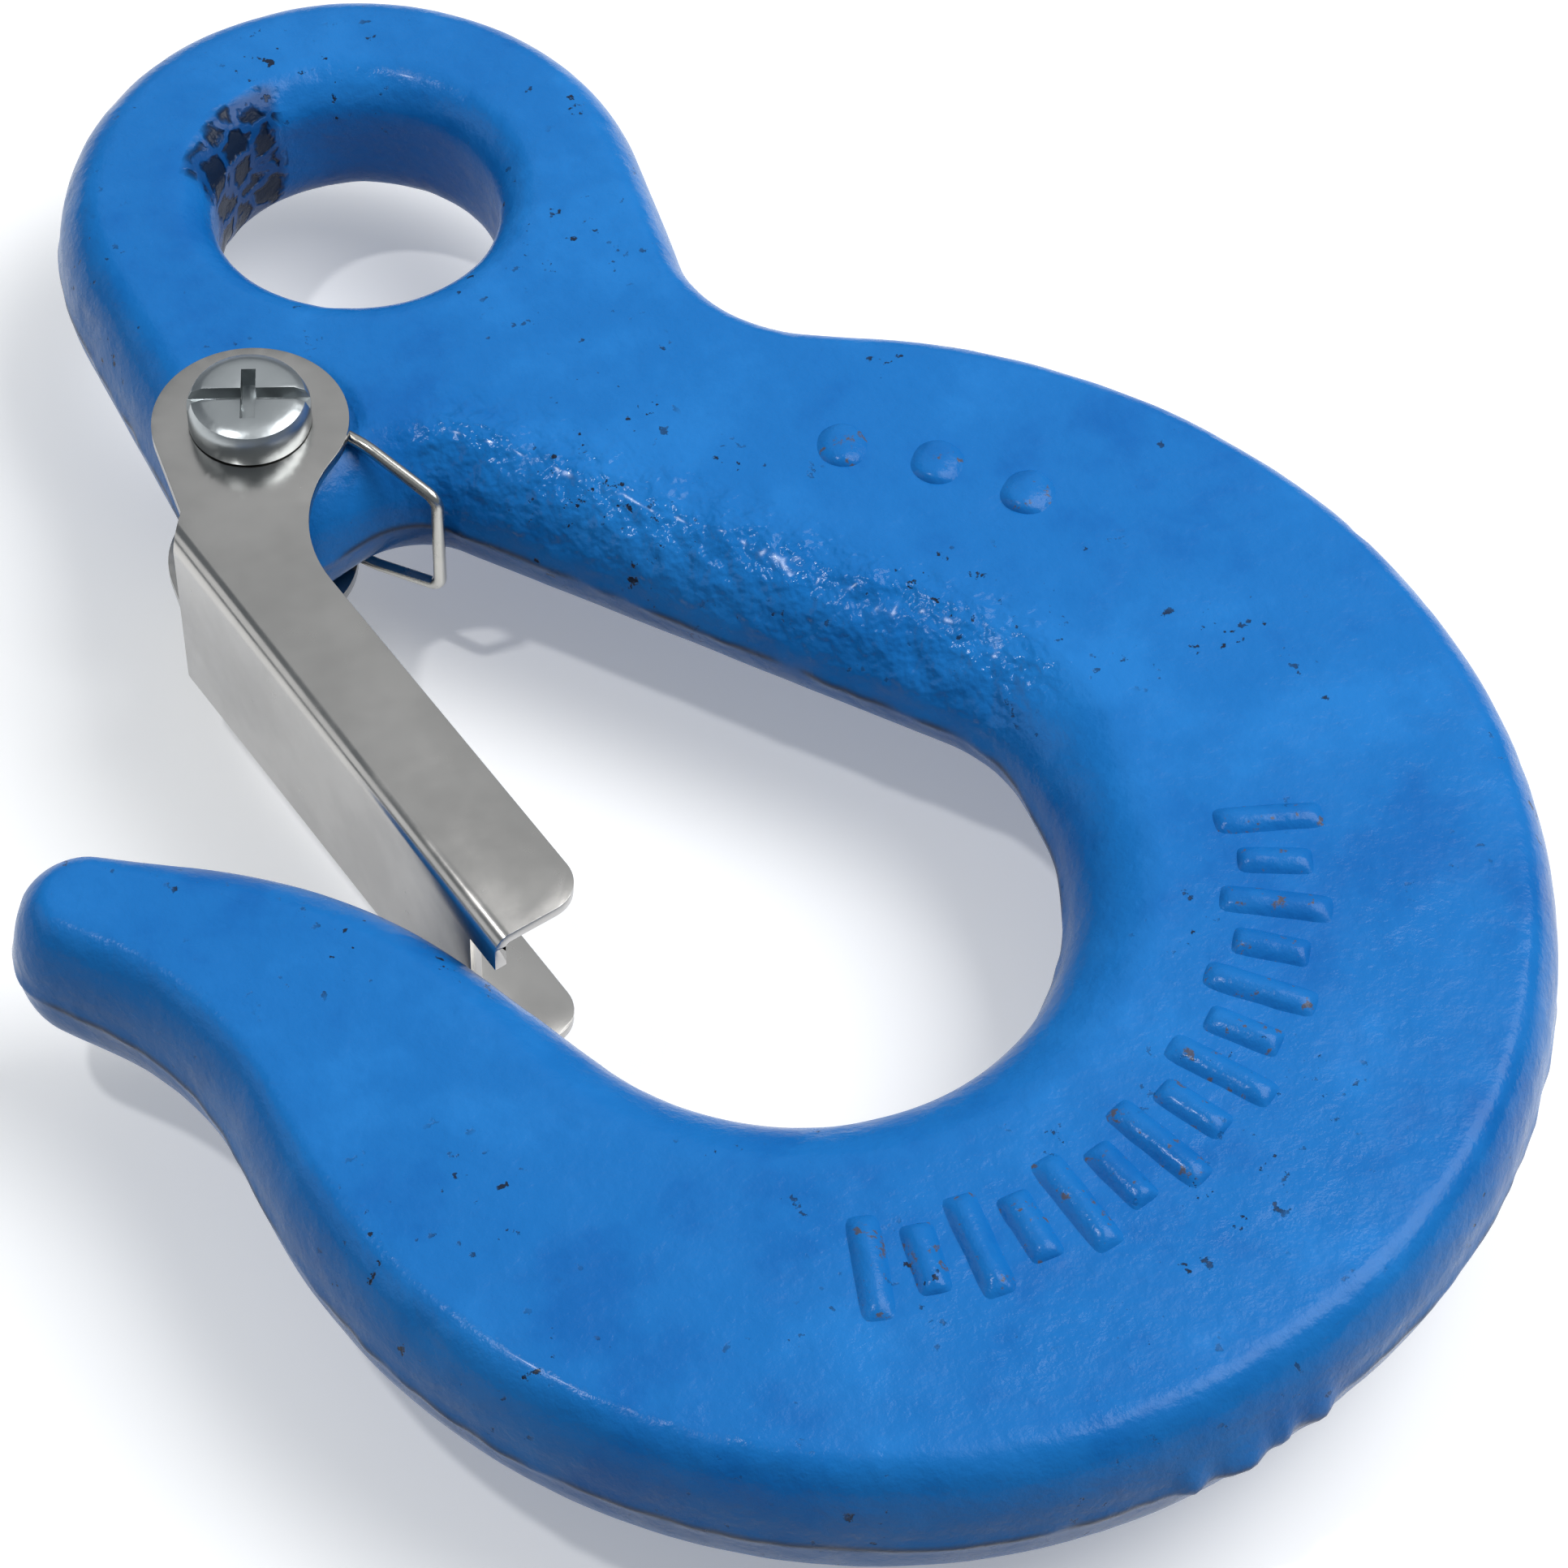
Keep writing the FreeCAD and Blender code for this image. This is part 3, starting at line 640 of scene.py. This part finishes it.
def raised_marks(material):
    """Generic raised marks on the face: an arc of long and short bars, and three round pips."""
    marks = [
        pillow(bearing, BAR_REACH, BAR_HALF_LENGTHS[index % 2], BAR_HALF_WIDTH, BAR_SQUARENESS)
        for index, bearing in enumerate(BAR_BEARINGS)
    ]
    marks += [pillow(bearing, PIP_REACH, PIP_RADIUS, PIP_RADIUS, 2) for bearing in PIP_BEARINGS]
    faces = [
        grid_faces(*rows.shape[:2]) + index * rows[..., 0].size
        for index, rows in enumerate(marks)
    ]
    faces = np.concatenate(faces).tolist()
    points = np.concatenate([rows.reshape(-1, 3) for rows in marks])
    points[:, 2] += waves(points * [1, 1, 0], MARK_WAVES)
    make_piece("raised_marks", points, faces, material, "hook", WELD_REACH)


# ---------------------------------------------------------------- materials

PAINT = (0.009, 0.162, 0.50)
PAINT_DEEP = (0.005, 0.130, 0.44)
PAINT_PALE = (0.014, 0.190, 0.56)
# Painted shade: the flaked patch inside the eye is mixed towards this deep blue, for the shade in the bore.
THIN_PAINT_AND_BORE_SHADE = (0.006, 0.070, 0.24)   # thin paint between the bare flakes, darkened as painted shade of the eye's bore
DARK_MARKS = (0.010, 0.020, 0.045)
RUST = (0.10, 0.075, 0.05)
STAINLESS = (0.50, 0.487, 0.467)
ZINC = (0.46, 0.49, 0.50)
SPRING_WIRE = (0.60, 0.59, 0.55)
NYLON = (0.82, 0.82, 0.8)
NYLON_DULL = (0.72, 0.72, 0.68)
SMUDGE = 0.08                # how much duller metal is where it has been handled
FLAKES_PER_METRE = 240.0
WANDERS_PER_METRE = 500.0
FLAKE_WANDER = (0.0022, 0.0022, 0.0022)

# Noise, as cells to the metre, detail and roughness.
BLOTCHES = (60, 5, 0.6)
SPECKS = (640, 4, 0.6)
PITTED_AREAS = (70, 3, 0.6)
CHIPS = (620, 4, 0.65)
GLOSS_PATCHES = (160, 4, 0.5)
SCALE = (250, 5, 0.6)
ORANGE_PEEL = (900, 2, 0.5)
BLISTERS = (430, 2, 0.45)
METAL_TONES = (90, 3, 0.5)
METAL_SMEARS = (240, 4, 0.6)
NYLON_CLOUDS = (300, 2, 0.5)
GRAIN_DETAIL = (2, 0.5)
GRAIN_DEPTH = 0.05
METAL_SHADE = 0.86           # of a metal's darker tone


def new_material(name):
    material = bpy.data.materials.new(name)
    material.use_nodes = True
    return material, material.node_tree, material.node_tree.nodes["Principled BSDF"]


def add_node(tree, kind, inputs=(), **settings):
    """A node with its settings, and its inputs given as (name, value or socket)."""
    node = tree.nodes.new(kind)
    for key, value in settings.items():
        setattr(node, key, value)
    for key, value in inputs:
        if isinstance(value, bpy.types.NodeSocket):
            tree.links.new(value, node.inputs[key])
        else:
            node.inputs[key].default_value = value
    return node


def object_place(tree):
    return add_node(tree, "ShaderNodeTexCoord").outputs["Object"]


def attribute(tree, name):
    """The piece's own values of this name, or 0 where it has none."""
    return add_node(tree, "ShaderNodeAttribute", attribute_name=name).outputs["Fac"]


def calculate(tree, operation, *values):
    inputs = list(enumerate(values))
    return add_node(tree, "ShaderNodeMath", inputs, operation=operation).outputs[0]


def noise(tree, per_metre, detail, roughness):
    """Noise on object coordinates, with so many cells to the metre."""
    inputs = [("Vector", object_place(tree)), ("Scale", per_metre)]
    inputs += [("Detail", detail), ("Roughness", roughness)]
    return add_node(tree, "ShaderNodeTexNoise", inputs).outputs["Fac"]


def ramp(tree, value, stops):
    """A colour ramp, or a ramp of greys, from (position, colour or grey) stops."""
    node = add_node(tree, "ShaderNodeValToRGB", [("Fac", value)])
    node.color_ramp.interpolation = "EASE"
    points = node.color_ramp.elements
    while len(points) < len(stops):
        points.new(0.5)
    for point, (position, colour) in zip(points, stops):
        point.position = position
        point.color = (*colour, 1) if isinstance(colour, tuple) else (colour, colour, colour, 1)
    return node.outputs["Color"]


def mix(tree, share, first, second):
    """From the first colour to the second, by a share from 0 to 1."""
    node = add_node(tree, "ShaderNodeMix", data_type="RGBA")
    for index, value in ((0, share), (6, first), (7, second)):
        if isinstance(value, bpy.types.NodeSocket):
            tree.links.new(value, node.inputs[index])
        else:
            node.inputs[index].default_value = (*value, 1)
    return node.outputs[2]


def bump(tree, height, strength, depth_mm, below=None):
    """Relief of so many millimetres at full strength, on top of another relief."""
    inputs = [("Height", height), ("Strength", strength), ("Distance", depth_mm * MM)]
    if below:
        inputs.append(("Normal", below))
    return add_node(tree, "ShaderNodeBump", inputs).outputs["Normal"]


def set_inputs(shader, **values):
    """Sets constants on a shader's own sockets, named with _ for each space."""
    for name, value in values.items():
        shader.inputs[name.replace("_", " ")].default_value = value


def bare_flakes(tree, flaked_and_shaded):
    """Dark flakes of bare scale in a net of paint, where the surface is marked as flaked."""
    place = object_place(tree)
    wander = add_node(
        tree, "ShaderNodeTexNoise",
        [("Vector", place), ("Scale", WANDERS_PER_METRE), ("Detail", 2.0)],
    )
    moved = add_node(
        tree, "ShaderNodeVectorMath",
        [(0, wander.outputs["Color"]), (1, FLAKE_WANDER), (2, place)],
        operation="MULTIPLY_ADD",
    )
    cells = add_node(
        tree, "ShaderNodeTexVoronoi",
        [("Vector", moved.outputs["Vector"]), ("Scale", FLAKES_PER_METRE)],
        feature="DISTANCE_TO_EDGE",
    )
    flake = ramp(tree, cells.outputs["Distance"], [(0.07, 0.0), (0.20, 1.0)])
    return calculate(tree, "MULTIPLY", flake, flaked_and_shaded)


def paint_material(name, chipped=False):
    """Gloss blue enamel over a scaly forging: thick and thin paint, dirt in its pits, a broken dark line along the
    parting line, and painted shade over the flaked patch in the eye's bore.

    Where the paint is chipped, as on raised marks, its thin spots show brown metal.
    """
    material, tree, shader = new_material(name)
    scaly = attribute(tree, "scaly")
    flaked_and_shaded = attribute(tree, "flaked_and_shaded")
    flakes = bare_flakes(tree, flaked_and_shaded)
    specks = ramp(tree, noise(tree, *SPECKS), [(0.64, 0.0), (0.68, 1.0)])
    pitted_areas = ramp(tree, noise(tree, *PITTED_AREAS), [(0.50, 0.0), (0.64, 1.0)])
    pits = calculate(tree, "MULTIPLY", specks, pitted_areas)

    thickness = [(0.32, PAINT_DEEP), (0.5, PAINT), (0.68, PAINT_PALE)]
    colour = ramp(tree, noise(tree, *BLOTCHES), thickness)
    dark = calculate(tree, "MAXIMUM", pits, attribute(tree, "parting_dark"))
    dark = calculate(tree, "MAXIMUM", dark, flakes)
    # Painted shade: over the flaked patch the paint is mixed towards a deep blue for the shade in the eye's bore;
    # pits, the parting line and the bare flakes go dark on top.
    colour = mix(tree, dark, mix(tree, flaked_and_shaded, colour, THIN_PAINT_AND_BORE_SHADE), DARK_MARKS)
    if chipped:
        thin = ramp(tree, noise(tree, *CHIPS), [(0.60, 0.0), (0.66, 0.8)])
        colour = mix(tree, thin, colour, RUST)
    tree.links.new(colour, shader.inputs["Base Color"])

    gloss = ramp(tree, noise(tree, *GLOSS_PATCHES), [(0.3, 0.20), (0.7, 0.33)])
    wetter = calculate(tree, "MULTIPLY_ADD", scaly, -0.10, gloss)
    tree.links.new(wetter, shader.inputs["Roughness"])
    set_inputs(shader, Specular_IOR_Level=0.15, Coat_Weight=0.05, Coat_Roughness=0.1)

    relief = bump(tree, noise(tree, *SCALE), strength=0.5, depth_mm=0.6)
    relief = bump(tree, noise(tree, *ORANGE_PEEL), strength=0.35, depth_mm=0.14, below=relief)
    relief = bump(tree, pits, strength=0.6, depth_mm=-0.15, below=relief)
    relief = bump(tree, flakes, strength=0.9, depth_mm=-0.5, below=relief)
    relief = bump(tree, noise(tree, *BLISTERS), strength=scaly, depth_mm=0.9, below=relief)
    tree.links.new(relief, shader.inputs["Normal"])
    return material


def metal_material(name, colour, rough, grains_per_metre, grain_strength):
    """Bright metal, with a fine grain and with faint smudges in its gloss."""
    material, tree, shader = new_material(name)
    set_inputs(shader, Metallic=1.0)
    darker = tuple(METAL_SHADE * part for part in colour)
    tone = ramp(tree, noise(tree, *METAL_TONES), [(0.35, darker), (0.65, colour)])
    tree.links.new(tone, shader.inputs["Base Color"])
    smears = ramp(tree, noise(tree, *METAL_SMEARS), [(0.3, rough), (0.75, rough + SMUDGE)])
    tree.links.new(smears, shader.inputs["Roughness"])
    grain = noise(tree, grains_per_metre, *GRAIN_DETAIL)
    relief = bump(tree, grain, grain_strength, GRAIN_DEPTH)
    tree.links.new(relief, shader.inputs["Normal"])
    return material


def nylon_material():
    """Natural nylon, a little cloudy."""
    material, tree, shader = new_material("natural_nylon")
    tone = ramp(tree, noise(tree, *NYLON_CLOUDS), [(0.3, NYLON_DULL), (0.7, NYLON)])
    tree.links.new(tone, shader.inputs["Base Color"])
    set_inputs(shader, Roughness=0.45, Subsurface_Weight=0.1)
    return material


# ------------------------------------------------------------ the CAD parts

EDGE_SEGMENTS = 3
EDGE_ANGLE = 32              # edges sharper than this are broken, in degrees


def finish_node(name, material, edge_mm=0.0):
    """A CAD part that is shown as it is: its own finish, and broken edges where it is cut."""
    node = frame["nodes"][name]
    node.data.materials.clear()
    node.data.materials.append(material)
    shade_smooth(node.data)
    weld = node.modifiers.new("weld", "WELD")
    weld.merge_threshold = WELD_REACH * MM
    if edge_mm:
        rounding = node.modifiers.new("broken_edges", "BEVEL")
        rounding.width = edge_mm * MM
        rounding.segments = EDGE_SEGMENTS
        rounding.limit_method = "ANGLE"
        rounding.angle_limit = math.radians(EDGE_ANGLE)
        rounding.harden_normals = True


def winding_spring(material):
    """The spring's wire: a welded, smooth copy of the CAD spring in its own finish, shown in place of it.
    """
    mesh = frame["nodes"]["latch_spring"].data.copy()
    piece = add_object("torsion_spring", mesh)
    clean(mesh, WELD_REACH)
    shade_smooth(mesh)
    mesh.materials.clear()
    mesh.materials.append(material)
    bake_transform(piece)
    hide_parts("latch_spring")


# -------------------------------------------------- floor, lights and camera

FLOOR_HALF_SIZE = 3.0
FLOOR_TINT = (0.92, 0.92, 0.92, 1)
FLOOR_GLOW = 0.26
SKY = (0.82, 0.91, 1.0, 1)
SKY_STRENGTH = 0.22
CENTRE = (0, -0.07, 0)
LIGHTS = [                   # name, place, aim, width and height, watts
    ("key", (0.45, -0.22, 0.66), (0.03, -0.08, 0), (0.6, 0.6), 5.8),
    ("sparkle", (-0.40, 0.0, 1.15), CENTRE, (0.06, 0.06), 3.0),
    ("backboard", (0.42, 0.62, 1.10), CENTRE, (1.4, 1.4), 2.6),
    ("side_card", (-0.86, 0.30, 0.42), CENTRE, (0.8, 0.5), 1.0),
]
CAMERA_PLACE = (-0.1145, -0.2802, 0.3074)
CAMERA_RIGHT = (0.879, -0.475, 0.040)
CAMERA_AHEAD = (0.3135, 0.5137, -0.7986)
CAMERA_LENS_MM = 93.17
CAMERA_SENSOR_MM = 36.0


def make_floor():
    """A pale sheet that shows in polished metal and throws no light up under the hook."""
    low = CAD_BOX[0][2]
    corners = [(-1, -1), (1, -1), (1, 1), (-1, 1)]
    points = [(x * FLOOR_HALF_SIZE, y * FLOOR_HALF_SIZE, low) for x, y in corners]
    mesh = bpy.data.meshes.new("floor")
    mesh.from_pydata(points, [], [(0, 1, 2, 3)])
    floor = add_object("floor", mesh)
    material, _, shader = new_material("pale_floor")
    set_inputs(shader, Base_Color=FLOOR_TINT, Roughness=0.9, Specular_IOR_Level=0.1)
    set_inputs(shader, Emission_Color=(1, 1, 1, 1), Emission_Strength=FLOOR_GLOW)
    mesh.materials.append(material)
    floor.visible_diffuse = False


def add_light(name, place, aim, size, watts):
    """A soft square or oblong light that faces its aim."""
    data = bpy.data.lights.new(name, "AREA")
    data.shape = "RECTANGLE"
    data.size, data.size_y = size
    data.energy = watts
    light = add_object(name, data)
    light.location = place
    light.rotation_euler = (Vector(aim) - Vector(place)).to_track_quat("-Z", "Y").to_euler()


def make_world():
    world = bpy.data.worlds.new("studio")
    bpy.context.scene.world = world
    world.use_nodes = True
    set_inputs(world.node_tree.nodes["Background"], Color=SKY, Strength=SKY_STRENGTH)


def make_camera():
    """Looks down on the screw's side, from the left of the load line."""
    ahead = Vector(CAMERA_AHEAD).normalized()
    right = Vector(CAMERA_RIGHT)
    right = (right - ahead * right.dot(ahead)).normalized()
    up = right.cross(ahead)
    data = bpy.data.cameras.new("camera")
    data.sensor_width = CAMERA_SENSOR_MM
    data.lens = CAMERA_LENS_MM
    camera = add_object("camera", data)
    turn = Matrix((right, up, -ahead)).transposed().to_4x4()
    camera.matrix_world = Matrix.Translation(Vector(CAMERA_PLACE)) @ turn
    bpy.context.scene.camera = camera


# -------------------------------------------------------------------- build

place_joining_rounds()
enamel = paint_material("blue_enamel")
worn_enamel = paint_material("worn_blue_enamel", chipped=True)
stainless = metal_material(
    "polished_stainless", STAINLESS, rough=0.20, grains_per_metre=1500, grain_strength=0.07
)
zinc = metal_material("bright_zinc", ZINC, rough=0.28, grains_per_metre=1200, grain_strength=0.3)
wire = metal_material(
    "drawn_wire", SPRING_WIRE, rough=0.22, grains_per_metre=1800, grain_strength=0.15
)
nylon = nylon_material()

make_forging(enamel)
raised_marks(worn_enamel)
finish_node("latch", stainless, edge_mm=0.55)
winding_spring(wire)
finish_node("latch_screw", zinc, edge_mm=0.12)
finish_node("lock_nut", zinc, edge_mm=0.1)
finish_node("nut_insert", nylon)

make_floor()
make_world()
for light in LIGHTS:
    add_light(*light)
make_camera()
bpy.context.scene.view_settings.view_transform = "Standard"
